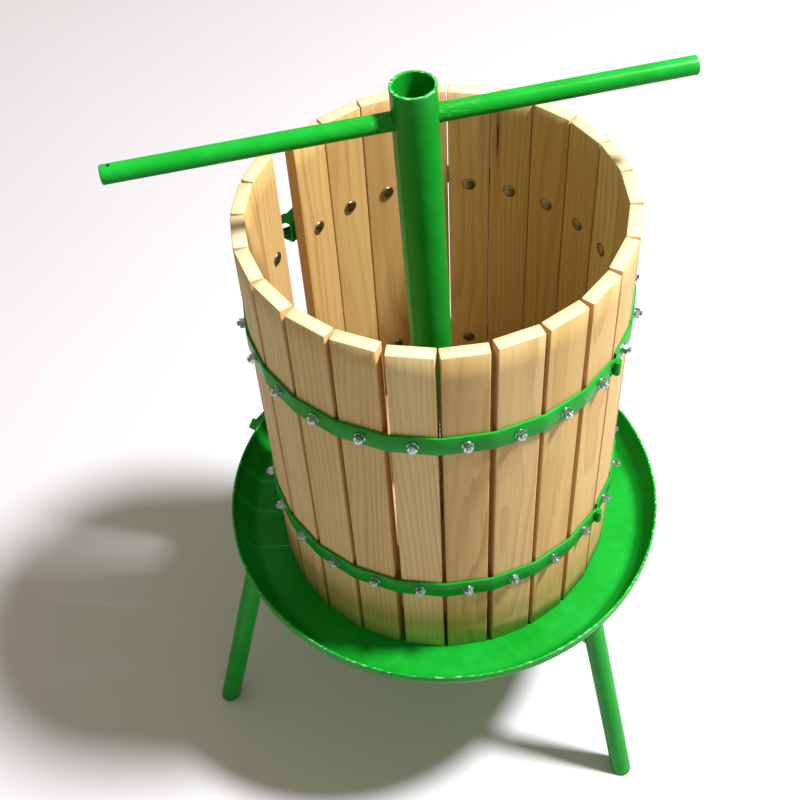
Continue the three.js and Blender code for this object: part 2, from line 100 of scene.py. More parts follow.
HOOP_LEVELS = {"lower": 135 * MM, "upper": 407 * MM}
HOOP_WIDTH = 26 * MM
HOOP_THICKNESS = 3 * MM
HOOP_SEAT_R = 215.2 * MM  # where a bolt draws the strip onto the flat of a slat
HOOP_BEND_R = 216.9 * MM  # where it bends between two slats
HOOP_END_INSET = 2 * MM
KNUCKLE_AXIS_R = 222.5 * MM
KNUCKLE_R = 4.4 * MM
KNUCKLE_HALF = 10 * MM
KNUCKLE_MIDDLE = 3.1 * MM
KNUCKLE_GAP = 0.5 * MM
KNUCKLE_TAB = (217.1 * MM, 220.05 * MM)
HINGE_PIN_R = 2.3 * MM
HINGE_PIN_PROUD = 0.5 * MM

BOLT_R = 3 * MM
BOLT_HEAD_R = 8.25 * MM
BOLT_HEAD_HEIGHT = 3.4 * MM
BOLT_PITCH = 1 * MM
BOLT_PROUD = 3 * MM  # beyond the nut
BOLT_THREAD = 8 * MM  # threaded length inside the grip
WASHER_R = 6.2 * MM
WASHER_HEIGHT = 1.4 * MM
NUT_FLATS = 10 * MM
NUT_HEIGHT = 5 * MM

BAIL_WIRE_R = 1.9 * MM
BAIL_LENGTH = 44 * MM
BAIL_HALF_HEIGHT = 6 * MM
BAIL_TIP = 11.5 * MM
BAIL_SWING = 30

THREAD_R = 14 * MM
THREAD_DEPTH = 2.6 * MM
THREAD_LEAD = 5 * MM
THREAD_FLANK = 0.16  # of a pitch
THREAD_CREST = 0.34
SPINDLE_Z = (-42 * MM, 500 * MM)
COLLAR_R = 35 * MM
COLLAR_Z = (1.2 * MM, 13 * MM)
BASE_NUT_FLATS = 46 * MM
BASE_NUT_Z = (-35 * MM, -13.5 * MM)
RING_R = 36 * MM
RING_Z = (193 * MM, 199 * MM)
NUT_FLANGE_R = 28 * MM
NUT_FLANGE_Z = (199.4 * MM, 211 * MM)
NUT_TOP = 236 * MM
TUBE_R = 24.15 * MM
TUBE_BORE_R = 20.9 * MM
TUBE_Z = (211.3 * MM, 694 * MM)
BAR_R = 10 * MM
BAR_Z = 656 * MM
BAR_ENDS = (-311 * MM, 290 * MM)
BAR_HOLE_R = 2.3 * MM
BAR_HOLE_INSET = 9 * MM
BAR_CHAMFER = 1.8 * MM
# Painted highlight: how much paler the edge of the tube's mouth is painted, through the scuff pattern.
TUBE_RIM_HIGHLIGHT = 0.9
SLIDE_WEAR = 0.15
TIP_WEAR = 0.3

BASE_PLATE_R = 70 * MM
BASE_PLATE_BORE_R = 16 * MM
BASE_PLATE_Z = (-11.3 * MM, -3.3 * MM)

PLATE_R = 182 * MM
PLATE_HOLE_R = 40 * MM
PLATE_Z = (0.3 * MM, 28.3 * MM)
PLATE_SPLIT = 3 * MM

SLAT_SEED = 11
BOLT_SEED = 5
PLATE_SEED = 23

# ---- places, from the frame ----
joints = {joint["name"]: joint for joint in frame["joints"]}
tray_low, tray_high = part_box("tray")
AXIS = Vector(((tray_low.x + tray_high.x) / 2, (tray_low.y + tray_high.y) / 2, tray_low.z + TRAY_SHEET))
TRAY_RIM_R = (tray_high.x - tray_low.x) / 2
TRAY_RIM_Z = tray_high.z - AXIS.z
SLAT_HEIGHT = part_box("slat_front_01")[1].z - AXIS.z - SLAT_FOOT


def azimuth_of(point):
    away = Vector(point) - AXIS
    return math.degrees(math.atan2(away.x, -away.y))


HINGE_AZIMUTH = azimuth_of(joints["basket_hinge"]["pos_m"])
SCREW_AXIS = Vector(joints["head_travel"]["axis"])
BAR_AXIS = Vector(joints["crossbar_slide"]["axis"])

press_place = Matrix.Translation(AXIS)
screw_place = press_place @ Matrix.Rotation(math.atan2(SCREW_AXIS.x, SCREW_AXIS.z), 4, "Y")
bar_turn = Matrix.Rotation(math.atan2(BAR_AXIS.y, math.hypot(BAR_AXIS.x, BAR_AXIS.z)), 4, "Z")
bar_place = screw_place @ Matrix.Translation((0, 0, BAR_Z)) @ bar_turn


def turned_to(azimuth):
    return press_place @ Matrix.Rotation(math.radians(azimuth), 4, "Z")


def turned_on_half(half, azimuth):
    """The place at an azimuth of a half of the basket, for a piece drawn on the front half's arc."""
    if half == "front":
        return turned_to(azimuth)
    turn = Matrix.Rotation(math.radians(azimuth), 4, "Z")
    return press_place @ Matrix.Translation(REAR_CENTRE) @ turn @ Matrix.Translation((0, REAR_INSET, 0))


# ---- shader helpers ----


def node(tree, kind, sockets=None, **settings):
    made = tree.nodes.new("ShaderNode" + kind)
    for key, value in settings.items():
        setattr(made, key, value)
    for key, value in (sockets or {}).items():
        if isinstance(value, bpy.types.NodeSocket):
            tree.links.new(value, made.inputs[key])
        else:
            made.inputs[key].default_value = value
    return made


def new_finish(name, **constants):
    """A material, its node tree and its Principled shader with the constants set on the sockets."""
    made = bpy.data.materials.new(name)
    made.use_nodes = True
    tree = made.node_tree
    shader = tree.nodes["Principled BSDF"]
    for key, value in constants.items():
        shader.inputs[key.replace("_", " ")].default_value = value
    return made, tree, shader


def scaled(tree, vector, scale):
    return node(tree, "Mapping", {"Vector": vector, "Scale": scale}).outputs["Vector"]


def noise(tree, vector, scale, detail=3.0, roughness=0.5, distortion=0.0):
    sockets = {
        "Vector": vector,
        "Scale": scale,
        "Detail": detail,
        "Roughness": roughness,
        "Distortion": distortion,
    }
    return node(tree, "TexNoise", sockets).outputs["Fac"]


def remap(tree, value, source, target, smooth=False):
    sockets = {
        "Value": value,
        "From Min": source[0],
        "From Max": source[1],
        "To Min": target[0],
        "To Max": target[1],
    }
    kind = "SMOOTHSTEP" if smooth else "LINEAR"
    return node(tree, "MapRange", sockets, interpolation_type=kind).outputs["Result"]


def maths(tree, operation, a, b=0.0):
    return node(tree, "Math", {0: a, 1: b}, operation=operation).outputs["Value"]


def blend_colours(tree, factor, a, b, mode="MIX"):
    made = node(tree, "Mix", data_type="RGBA", blend_type=mode)
    for socket, value in (("Factor_Float", factor), ("A_Color", a), ("B_Color", b)):
        target = next(s for s in made.inputs if s.identifier == socket)
        if isinstance(value, bpy.types.NodeSocket):
            tree.links.new(value, target)
        elif socket == "Factor_Float":
            target.default_value = value
        else:
            target.default_value = (*value, 1)
    return next(s for s in made.outputs if s.identifier == "Result_Color")


def bumped(tree, shader, layers):
    """Chains (height, distance) pairs into the shader's normal."""
    normal = None
    for height, distance in layers:
        sockets = {"Height": height, "Distance": distance, "Strength": 1.0}
        if normal is not None:
            sockets["Normal"] = normal
        normal = node(tree, "Bump", sockets).outputs["Normal"]
    tree.links.new(normal, shader.inputs["Normal"])


# ---- finishes ----


def paint_finish():
    """Glossy green enamel, slightly uneven, paler where a vertex attribute says: scuffed paint on the
    crossbar, painted highlights along the rims of the tray and the tube.
    """
    made, tree, shader = new_finish(
        "green_enamel", IOR=1.5, Specular_IOR_Level=0.09, Coat_Weight=0.03, Coat_Roughness=0.08
    )
    place = node(tree, "TexCoord").outputs["Object"]
    cloud = noise(tree, place, 7, 4, 0.55)
    mottle = noise(tree, place, 55, 3, 0.6)
    deep, fresh, chalky = (0.003, 0.205, 0.009), (0.007, 0.295, 0.026), (0.022, 0.39, 0.07)
    colour = blend_colours(tree, remap(tree, cloud, (0.3, 0.7), (0, 1)), deep, fresh)
    colour = blend_colours(tree, remap(tree, mottle, (0.5, 0.8), (0, 0.25)), colour, chalky)
    # This attribute holds real scuffs and painted highlights.
    wear = node(tree, "Attribute", attribute_name="wear").outputs["Fac"]
    scratch = noise(tree, scaled(tree, place, (90, 420, 420)), 1, 4, 0.7)
    # Paler green through a scratch pattern: scuffs where there is real wear, a painted highlight along the
    # rims.
    scuff_and_highlight = maths(tree, "MULTIPLY", wear, remap(tree, scratch, (0.52, 0.62), (0, 1), smooth=True))
    colour = blend_colours(tree, scuff_and_highlight, colour, (0.30, 0.58, 0.33))
    tree.links.new(colour, shader.inputs["Base Color"])
    gloss = remap(tree, noise(tree, place, 24, 3, 0.6), (0.3, 0.75), (0.22, 0.40))
    gloss = maths(tree, "ADD", gloss, maths(tree, "MULTIPLY", scuff_and_highlight, 0.3))
    tree.links.new(gloss, shader.inputs["Roughness"])
    peel = noise(tree, place, 420, 2, 0.5)
    sag = noise(tree, place, 45, 2, 0.4)
    bumped(tree, shader, [(sag, 0.5 * MM), (peel, 0.05 * MM)])
    return made


def wood_finish(name, early, late, warm):
    """Planed hardwood. Its vertex attributes are grain, a place in the board; the tone, the board's own tone
    plus, on the slats, painted light; cut, how far a face is a sawn side (X), whose darker brown is partly
    painted shade, or an end (Y); and streak, a place relative to a stain.
    """
    made, tree, shader = new_finish(name, IOR=1.45, Specular_IOR_Level=0.3)
    grain = node(tree, "Attribute", attribute_name="grain").outputs["Vector"]
    tone_and_painted_light = node(tree, "Attribute", attribute_name="tone_and_painted_light").outputs["Fac"]
    waver = node(tree, "TexNoise", {"Vector": scaled(tree, grain, (9, 9, 1.6)), "Scale": 1.0, "Detail": 2.0})
    centred = node(tree, "VectorMath", {0: waver.outputs["Color"], 1: (0.5, 0.5, 0.5)}, operation="SUBTRACT")
    sockets = {0: centred.outputs["Vector"], 1: (0.032, 0.032, 0), 2: grain}
    shifted = node(tree, "VectorMath", sockets, operation="MULTIPLY_ADD")
    along = scaled(tree, shifted.outputs["Vector"], (1, 1, 0.02))
    sockets = {"Vector": along, "Scale": 78.0, "Distortion": 2.6, "Detail": 3.0, "Detail Scale": 1.4}
    rings = node(tree, "TexWave", sockets, wave_type="RINGS", rings_direction="Z", wave_profile="SAW")
    ring = remap(tree, rings.outputs["Fac"], (0.35, 1.0), (0, 1), smooth=True)
    fibre = noise(tree, scaled(tree, grain, (950, 950, 14)), 1, 3, 0.65)
    band = noise(tree, scaled(tree, grain, (190, 190, 2.5)), 1, 3, 0.6)
    pore_noise = noise(tree, scaled(tree, grain, (1500, 1500, 60)), 1, 2, 0.5)
    pore = remap(tree, pore_noise, (0.62, 0.72), (0, 1), smooth=True)
    cloud = noise(tree, scaled(tree, grain, (30, 30, 4)), 1, 3, 0.5)
    strength = remap(tree, cloud, (0.3, 0.7), (0.16, 0.62))
    colour = blend_colours(tree, maths(tree, "MULTIPLY", ring, strength), early, late)
    colour = blend_colours(tree, remap(tree, band, (0.42, 0.72), (0, 0.42)), colour, warm)
    colour = blend_colours(tree, remap(tree, fibre, (0.35, 0.7), (0.0, 0.20)), colour, late)
    colour = blend_colours(tree, maths(tree, "MULTIPLY", pore, 0.22), colour, (0.22, 0.12, 0.05))
    # The board's tone, which on the slats also carries painted light: a board's colour is lightened or
    # darkened by how the key light falls on it.
    shade = blend_colours(tree, remap(tree, tone_and_painted_light, (-1, 1), (0, 1)), (0.86, 0.71, 0.50), (1.12, 1.10, 1.08))
    colour = blend_colours(tree, 1.0, colour, shade, "MULTIPLY")
    cut = node(tree, "Attribute", attribute_name="cut")
    faces = node(tree, "SeparateXYZ", {"Vector": cut.outputs["Vector"]})
    # Sawn sides darker and browner: partly the wood's own colour, partly painted shade in the gaps between
    # slats.
    sawn_side_and_gap_shade = maths(tree, "MULTIPLY", faces.outputs["X"], 0.7)
    colour = blend_colours(tree, sawn_side_and_gap_shade, colour, (0.48, 0.26, 0.085))
    board_end = maths(tree, "MULTIPLY", faces.outputs["Y"], 0.55)
    colour = blend_colours(tree, board_end, colour, (0.55, 0.475, 0.335))
    streak = node(tree, "Attribute", attribute_name="streak")
    parts = node(tree, "SeparateXYZ", {"Vector": streak.outputs["Vector"]})
    flat = node(tree, "CombineXYZ", {"X": parts.outputs["X"], "Y": parts.outputs["Y"], "Z": 0.0})
    reach = node(tree, "VectorMath", {0: flat.outputs["Vector"]}, operation="LENGTH").outputs["Value"]
    ragged = maths(tree, "ADD", reach, remap(tree, fibre, (0.3, 0.7), (-0.001, 0.001)))
    core = remap(tree, ragged, (0.0003, 0.0026), (1, 0), smooth=True)
    halo = remap(tree, ragged, (0.001, 0.007), (0.45, 0), smooth=True)
    stain_halo = maths(tree, "MULTIPLY", halo, parts.outputs["Z"])
    colour = blend_colours(tree, stain_halo, colour, (0.36, 0.17, 0.06))
    stain_core = maths(tree, "MULTIPLY", core, parts.outputs["Z"])
    colour = blend_colours(tree, stain_core, colour, (0.07, 0.03, 0.014))
    tree.links.new(colour, shader.inputs["Base Color"])
    tree.links.new(remap(tree, fibre, (0.3, 0.7), (0.50, 0.70)), shader.inputs["Roughness"])
    bumped(tree, shader, [(ring, 0.04 * MM), (fibre, 0.09 * MM), (pore, -0.08 * MM)])
    return made


def metal_finish(name, colour, tint, roughness, turned=False):
    """Bare or plated steel. A turned face has fine rings about the press axis."""
    made, tree, shader = new_finish(name, Metallic=1.0)
    place = node(tree, "TexCoord").outputs["Object"]
    cloud = noise(tree, place, 180, 4, 0.6)
    spots = noise(tree, place, 900, 2, 0.5)
    mixed = blend_colours(tree, remap(tree, cloud, (0.35, 0.7), (0, 1)), colour, tint)
    tree.links.new(mixed, shader.inputs["Base Color"])
    rough = remap(tree, cloud, (0.3, 0.7), roughness)
    tree.links.new(rough, shader.inputs["Roughness"])
    stretch = (60, 60, 5200) if turned else (700, 700, 700)
    brushing = noise(tree, scaled(tree, place, stretch), 1, 2, 0.5)
    bumped(tree, shader, [(brushing, 0.02 * MM), (spots, 0.02 * MM)])
    return made


ENAMEL = paint_finish()
SLAT_WOOD = wood_finish("slat_board", (0.62, 0.505, 0.27), (0.40, 0.245, 0.09), (0.51, 0.36, 0.15))
PLATE_WOOD = wood_finish("plate_board", (0.55, 0.45, 0.25), (0.34, 0.23, 0.10), (0.46, 0.33, 0.16))
ZINC = metal_finish("zinc_plate", (0.36, 0.46, 0.50), (0.60, 0.65, 0.67), (0.20, 0.36))
# Painted reflection: the carriage bolt heads are zinc like the nuts, but are coloured dark brown for the
# shaded inside of the basket that they reflect.
BOLT_HEAD_PAINTED_SHADE = metal_finish("dark_steel", (0.20, 0.175, 0.12), (0.34, 0.31, 0.23), (0.24, 0.42))
TURNED_STEEL = metal_finish(
    "turned_steel", (0.55, 0.56, 0.57), (0.68, 0.67, 0.64), (0.18, 0.34), turned=True
)
BLACK_STEEL = metal_finish("black_steel", (0.035, 0.037, 0.040), (0.07, 0.07, 0.072), (0.30, 0.45))

# ---- mesh helpers ----


def loft(rings, loop=False):
    """A closed solid through rings of equal count. With loop, the last ring joins the first."""
    bm = bmesh.new()
    made = [[bm.verts.new(point) for point in ring] for ring in rings]
    count = len(made[0])
    pairs = list(zip(made, made[1:]))
    if loop:
        pairs.append((made[-1], made[0]))
    for low, high in pairs:
        for i in range(count):
            j = (i + 1) % count
            bm.faces.new((low[i], low[j], high[j], high[i]))
    if not loop:
        bm.faces.new(reversed(made[0]))
        bm.faces.new(made[-1])
    bmesh.ops.recalc_face_normals(bm, faces=bm.faces)
    return bm


def filleted(corners, radius, steps=3, keep=()):
    """A closed outline with its corners rounded, except those whose index is in keep."""
    points = []
    count = len(corners)
    for i, (x, y) in enumerate(corners):
        here = Vector((x, y))
        if i in keep:
            points.append((x, y))
            continue
        before = Vector(corners[i - 1]) - here
        after = Vector(corners[(i + 1) % count]) - here
        wanted = radius[i] if isinstance(radius, (list, tuple)) else radius
        reach = min(wanted, before.length * 0.45, after.length * 0.45)
        start = here + before.normalized() * reach
        end = here + after.normalized() * reach
        for k in range(steps + 1):
            t = k / steps
            point = start * (1 - t) ** 2 + here * 2 * t * (1 - t) + end * t**2
            points.append((point.x, point.y))
    return points


def circle(radius, z, segments):
    angles = [TAU * i / segments for i in range(segments)]
    return [Vector((radius * math.cos(a), radius * math.sin(a), z)) for a in angles]


def turned(profile, segments=96):
    """A closed outline of (radius, z) that doesn't reach the axis, turned about Z."""
    return loft([circle(r, z, segments) for r, z in profile], loop=True)


def solid_turned(profile, segments=96):
    """A turned solid whose profile starts and ends near the axis and is closed by flat discs."""
    return loft([circle(r, z, segments) for r, z in profile])


def round_ring(inner, outer, z0, z1, edge, segments=96):
    corners = [(inner, z0), (outer, z0), (outer, z1), (inner, z1)]
    return turned(filleted(corners, edge), segments)


def prism(outline, z0, z1, edge=0.0, segments=2):
    """An outline of (x, y) extruded from z0 to z1, with its sharp edges eased."""
    bm = loft([[Vector((x, y, z)) for x, y in outline] for z in (z0, z1)])
    if edge:
        ease(bm, edge, segments)
    return bm


def ease(bm, width, segments=2, limit=40):
    """Bevels every edge whose faces meet at more than the limit."""
    edges = [e for e in bm.edges if len(e.link_faces) == 2 and e.calc_face_angle() > math.radians(limit)]
    bmesh.ops.bevel(
        bm, geom=edges, offset=width, offset_type="OFFSET", segments=segments, profile=0.5,
        affect="EDGES", clamp_overlap=True,
    )


def box_outline(x0, x1, y0, y1):
    return [(x0, y0), (x1, y0), (x1, y1), (x0, y1)]


def hexagon(flats):
    corner = flats / math.sqrt(3)
    return [(corner * math.cos(TAU * i / 6), corner * math.sin(TAU * i / 6)) for i in range(6)]


def to_mesh(bm):
    mesh = bpy.data.meshes.new("part")
    bm.to_mesh(mesh)
    bm.free()
    return mesh


def combined(operation, first, *others):
    """Joins closed solids, or cuts the others from the first, exactly."""
    objects = []
    for bm in (first, *others):
        made = bpy.data.objects.new("working", to_mesh(bm))
        bpy.context.scene.collection.objects.link(made)
        objects.append(made)
    target = objects[0]
    for tool in objects[1:]:
        modifier = target.modifiers.new("combine", "BOOLEAN")
        modifier.operation = operation
        modifier.solver = "EXACT"
        modifier.object = tool
    graph = bpy.context.evaluated_depsgraph_get()
    mesh = bpy.data.meshes.new_from_object(target.evaluated_get(graph), depsgraph=graph)
    bm = bmesh.new()
    bm.from_mesh(mesh)
    for made in objects:
        old = made.data
        bpy.data.objects.remove(made)
        bpy.data.meshes.remove(old)
    bpy.data.meshes.remove(mesh)
    bmesh.ops.remove_doubles(bm, verts=bm.verts, dist=1e-6)
    bmesh.ops.dissolve_degenerate(bm, dist=1e-6, edges=bm.edges)
    return bm


def stamped(mesh, places):
    """Copies of one mesh at several places, as one group of separate solids."""
    bm = bmesh.new()
    for place in places:
        copy = mesh.copy()
        copy.transform(place)
        bm.from_mesh(copy)
        bpy.data.meshes.remove(copy)
    return bm


def swept(points, radius, sides=14, closed=False):
    """A round wire along points. radius is a number or a function of the point's index."""
    points = [Vector(p) for p in points]
    count = len(points)
    rings = []
    side = None
    for i, point in enumerate(points):
        before = points[i - 1] if closed or i else point
        after = points[(i + 1) % count] if closed or i + 1 < count else point
        direction = (after - before).normalized()
        if side is None:
            side = direction.orthogonal()
        side = (side - direction * side.dot(direction)).normalized()
        other = direction.cross(side)
        size = radius(i) if callable(radius) else radius
        angles = [TAU * k / sides for k in range(sides)]
        rings.append([point + (side * math.cos(a) + other * math.sin(a)) * size for a in angles])
    return loft(rings, loop=closed)


def add_piece(name, bm, place, body, slot, finish, stands_for=(), smooth=38, wear=None):
    """Places a mesh for good, gives it its finish and makes it ride on its body."""
    bm.transform(place)
    # Per-vertex paleness of the paint: real wear, and painted highlights on rims.
    if wear is not None:
        layer = bm.verts.layers.float.new("wear")
        for vertex in bm.verts:
            vertex[layer] = wear(vertex.co)
    mesh = to_mesh(bm)
    mesh.name = name
    mesh.materials.append(finish)
    mesh.shade_smooth()
    mesh.set_sharp_from_angle(angle=math.radians(smooth))
    made = bpy.data.objects.new(name, mesh)
    bpy.context.scene.collection.objects.link(made)
    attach(made, body)
    if stands_for:
        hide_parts(*stands_for)
    return made


def paint_piece(name, bm, place, body, *stands_for, **options):
    return add_piece(name, bm, place, body, "green_paint", ENAMEL, stands_for, **options)


def steel_piece(name, bm, place, body, finish, *stands_for, **options):
    return add_piece(name, bm, place, body, "bright_steel", finish, stands_for, **options)


def eased_node(name, body, edge):
    """A painted piece in place of a CAD node of the right shape: its solid with the edges eased."""
    solid = frame["nodes"][name]
    bm = bmesh.new()
    bm.from_mesh(solid.data)
    bmesh.ops.remove_doubles(bm, verts=bm.verts, dist=1e-5)
    ease(bm, edge)
    paint_piece(f"{name}_eased", bm, solid.matrix_world.copy(), body, name)


# ---- tray, spout and legs ----


def tray_profile():
    """The dish's half section as (radius, z): floor, round corner, sloping wall, upright lip."""
    slope = (TRAY_RIM_R - TRAY_SHEET - TRAY_FLOOR_R) / TRAY_LIP_Z
    inner_rim = TRAY_RIM_R - TRAY_SHEET
    outer_foot = TRAY_FLOOR_R + TRAY_SHEET * (1 - slope)
    corners = [
        (TRAY_HOLE_R, -TRAY_SHEET),
        (outer_foot, -TRAY_SHEET),
        (TRAY_RIM_R, TRAY_LIP_Z),
        (TRAY_RIM_R, TRAY_RIM_Z),
        (inner_rim, TRAY_RIM_Z),
        (inner_rim, TRAY_LIP_Z),
        (TRAY_FLOOR_R, 0),
        (TRAY_HOLE_R, 0),
    ]
    outside = [0.4 * MM, TRAY_CORNER_R + TRAY_SHEET, LIP_ROUND, RIM_ROUND]
    inside = [RIM_ROUND, LIP_ROUND, TRAY_CORNER_R, 0.4 * MM]
    return filleted(corners, outside + inside, steps=5)


def make_tray():
    dish = turned(tray_profile(), 240)
    half = SPOUT_WIDTH / 2 - TRAY_SHEET
    outline = box_outline(-half, half, -TRAY_RIM_R - 0.01, -TRAY_FLOOR_R + TRAY_CORNER_R)
    notch = prism(outline, 0, TRAY_RIM_Z + 0.01)
    notch.transform(Matrix.Rotation(math.radians(SPOUT_AZIMUTH), 4, "Z"))
    dish = combined("DIFFERENCE", dish, notch)
    rim = AXIS.z + TRAY_RIM_Z

    # Painted highlight: the rim's top edge is painted paler.
    def wear(point):
        return RIM_HIGHLIGHT if point.z > rim - RIM_ROUND / 2 else 0.0

    paint_piece("tray_dish", dish, press_place, "frame", "tray", wear=wear)
    eased_node("spout", "frame", 0.7 * MM)


def leg_point(radius, angle, z):
    """The point at height z on one straight line of a splayed cylinder drawn at azimuth 0."""
    direction = Vector((0, LEG_TOP_R - LEG_FOOT_R, -AXIS.z)).normalized()
    across = Vector((1, 0, 0))
    offset = (across * math.cos(angle) + direction.cross(across) * math.sin(angle)) * radius
    along = (z - offset.z) / direction.z
    return Vector((0, -LEG_TOP_R, 0)) + offset + direction * along


def leg_ring(radius, z, segments=40):
    return [leg_point(radius, TAU * i / segments, z) for i in range(segments)]


def cope_ring(radius, below=0.0, segments=40):
    """The edge where a leg meets the underside and the sloping wall of the dish."""
    slope = (TRAY_RIM_R - TRAY_SHEET - TRAY_FLOOR_R) / TRAY_LIP_Z
    points = []
    for i in range(segments):
        angle = TAU * i / segments
        low, high = -TRAY_SHEET - 0.3 * MM, TRAY_LIP_Z
        for _ in range(30):
            middle = (low + high) / 2
            wall = TRAY_FLOOR_R + TRAY_SHEET + 0.3 * MM + slope * middle
            if leg_point(radius, angle, middle).xy.length > wall:
                low = middle
            else:
                high = middle
        points.append(leg_point(radius, angle, low - below))
    return points


def make_legs():
    ground = -AXIS.z
    start = -12 * MM
    bore = LEG_R - LEG_WALL
    for side, azimuth in LEG_AZIMUTHS.items():
        rings = [leg_ring(bore * 0.2, ground + LEG_PLUG), leg_ring(bore, ground + LEG_PLUG)]
        rings += [leg_ring(bore, start), cope_ring(bore), cope_ring(LEG_R)]
        rings += [leg_ring(LEG_R, start - k * (AXIS.z - FOOT_ROUND + start) / 8) for k in range(8)]
        for k in range(7):
            turn = math.pi / 2 * k / 6
            radius = LEG_R - FOOT_ROUND * (1 - math.cos(turn))
            rings.append(leg_ring(radius, ground + FOOT_ROUND * (1 - math.sin(turn))))
        paint_piece(f"{side}_leg_tube", loft(rings), turned_to(azimuth), "frame", f"leg_{side}")
        eased_node(f"brace_{side}", "frame", 1.5 * MM)
    plate = round_ring(BASE_PLATE_BORE_R, BASE_PLATE_R, *BASE_PLATE_Z, 1 * MM)
    paint_piece("base_disc", plate, press_place, "frame", "base_plate")


def weld_bead(name, points, radius, place):
    """A rippled fillet weld along a closed loop of closely spaced points, on the frame."""

    def ripple(i):
        return radius * (1 + 0.14 * math.sin(i * 2.1) + 0.05 * math.sin(i * 0.73))

    paint_piece(name, swept(points, ripple, 10, closed=True), place, "frame")


def make_welds():
    for side, azimuth in LEG_AZIMUTHS.items():
        loop = cope_ring(LEG_R + 0.6 * MM, 1.3 * MM, 72)
        weld_bead(f"leg_weld_{side}", loop, LEG_BEAD_R, turned_to(azimuth))
    collar = circle(COLLAR_R + 0.5 * MM, 2.2 * MM, 150)
    weld_bead("collar_weld", collar, COLLAR_BEAD_R, screw_place)


# ---- basket ----


def board(width, thickness, length, dice, trims=(0, 0), stain=None, light_shift=0.0):
    """A planed board along Z from 0, with eased edges, a slight bow and its wood attributes.

    trims narrow it at -X and +X. stain is the (x, z) of a long dark streak on its face, and the
    shift is painted light: it makes the board's tone lighter or darker by how the key light falls on it.
    """
    left = -width / 2 + trims[0]
    right = width / 2 - trims[1]
    bow = dice.uniform(-0.5, 0.5) * MM
    crook = dice.uniform(-0.25, 0.25) * MM
    ends = BOARD_END
    heights = [0, ends] + [length * k / 16 for k in range(1, 16)] + [length - ends, length]
    rings = []
    for z in heights:
        inset = ends if z in (0, length) else 0
        arch = math.sin(math.pi * z / length)
        outline = box_outline(left + inset, right - inset, -thickness / 2 + inset, thickness / 2 - inset)
        rounded = filleted(outline, BOARD_ROUND, 3)
        rings.append([Vector((x + crook * arch, y + bow * arch, z)) for x, y in rounded])
    bm = loft(rings)
    grain = bm.verts.layers.float_vector.new("grain")
    tone_and_painted_light = bm.verts.layers.float.new("tone_and_painted_light")
    cut = bm.verts.layers.float_vector.new("cut")
    streak = bm.verts.layers.float_vector.new("streak")
    pith_depth = dice.choice((-1, 1)) * dice.uniform(0.10, 0.30)
    pith = Vector((dice.uniform(-0.12, 0.12), pith_depth, dice.uniform(-9, 9)))
    tilt = dice.uniform(-0.03, 0.03)
    # A random tone, plus the painted light of the half's shift.
    shade = dice.uniform(-1, 1) + light_shift
    for vertex in bm.verts:
        x, y, z = vertex.co
        at_end = min(z, length - z) < 0.5 * ends
        side = not at_end and (x < left + 0.5 * ends or x > right - 0.5 * ends)
        vertex[grain] = Vector((x + tilt * z, y + tilt * z * 0.4, z)) + pith
        vertex[tone_and_painted_light] = shade
        vertex[cut] = Vector((float(side), float(at_end), 0))
        if stain:
            vertex[streak] = Vector((x - stain[0], (z - stain[1]) * STREAK_SQUEEZE, 1))
    return bm


def wood_piece(name, bm, place, body, slot, finish, *stands_for):
    return add_piece(name, bm, place, body, slot, finish, stands_for, smooth=50)


def slat_azimuth(half, index):
    """Seen from the half's own centre."""
    if half == "front":
        return HINGE_AZIMUTH - (index + 0.5) * SLAT_PITCH
    return REAR_HINGE_AZIMUTH + (index + 0.5) * REAR_PITCH


# For single slats, in mm: what is planed off at either side, and the (x, z) of a dark streak.
WIDE_GAPS = {
    ("front", 4): (1.9, 0.2),
    ("front", 3): (0.1, 1.7),
    ("front", 5): (0.3, 1.5),
    ("front", 1): (0.2, 1.2),
}
STAINS = {("rear", 6): (16, 486)}
# Painted light: per half, a tone shift for the boards near the hinge and for those near the seam, set by how
# the key light falls. The rear boards near the seam face the key light and are painted darker; the rear
# boards nearer the hinge stand in shade and are painted lighter.
HALF_PAINTED_LIGHT = {"front": (0.1, -0.2), "rear": (0.45, -1.5)}  # near the hinge, near the seam
STREAK_SQUEEZE = 0.045  # a streak's width over its length
SLAT_SLACK = {"front": 0.9 * MM, "rear": 0.25 * MM}  # how much narrower a slat may be on one side
BASKET_HALVES = {"front": -1, "rear": 1}


def make_slats():
    dice = random.Random(SLAT_SEED)
    for half in BASKET_HALVES:
        for i in range(SLATS_PER_HALF):
            slack = SLAT_SLACK[half]
            trims = [dice.uniform(0, slack), dice.uniform(0, slack)]
            if (half, i) in WIDE_GAPS:
                trims = [trim * MM for trim in WIDE_GAPS[half, i]]
            stain = STAINS.get((half, i))
            if stain:
                stain = (stain[0] * MM, stain[1] * MM)
            azimuth = slat_azimuth(half, i)
            drop = FRONT_TOPS_DROP * max(0.0, 1 - abs(azimuth) / FRONT_TOPS_SPREAD)
            length = SLAT_HEIGHT - dice.uniform(0, 1.6) * MM - drop
            # The painted light for this board.
            light_shift = HALF_PAINTED_LIGHT[half][i >= SLATS_PER_HALF * 2 // 3]
            bm = board(SLAT_WIDTH, SLAT_THICKNESS, length, dice, trims, stain, light_shift)
            middle = Matrix.Translation((0, -BASKET_R + SLAT_THICKNESS / 2, SLAT_FOOT))
            place = turned_on_half(half, azimuth) @ middle
            which = f"{half}_{i + 1:02d}"
            body = f"basket_{half}"
            wood_piece(f"board_{which}", bm, place, body, "slat_wood", SLAT_WOOD, f"slat_{which}")


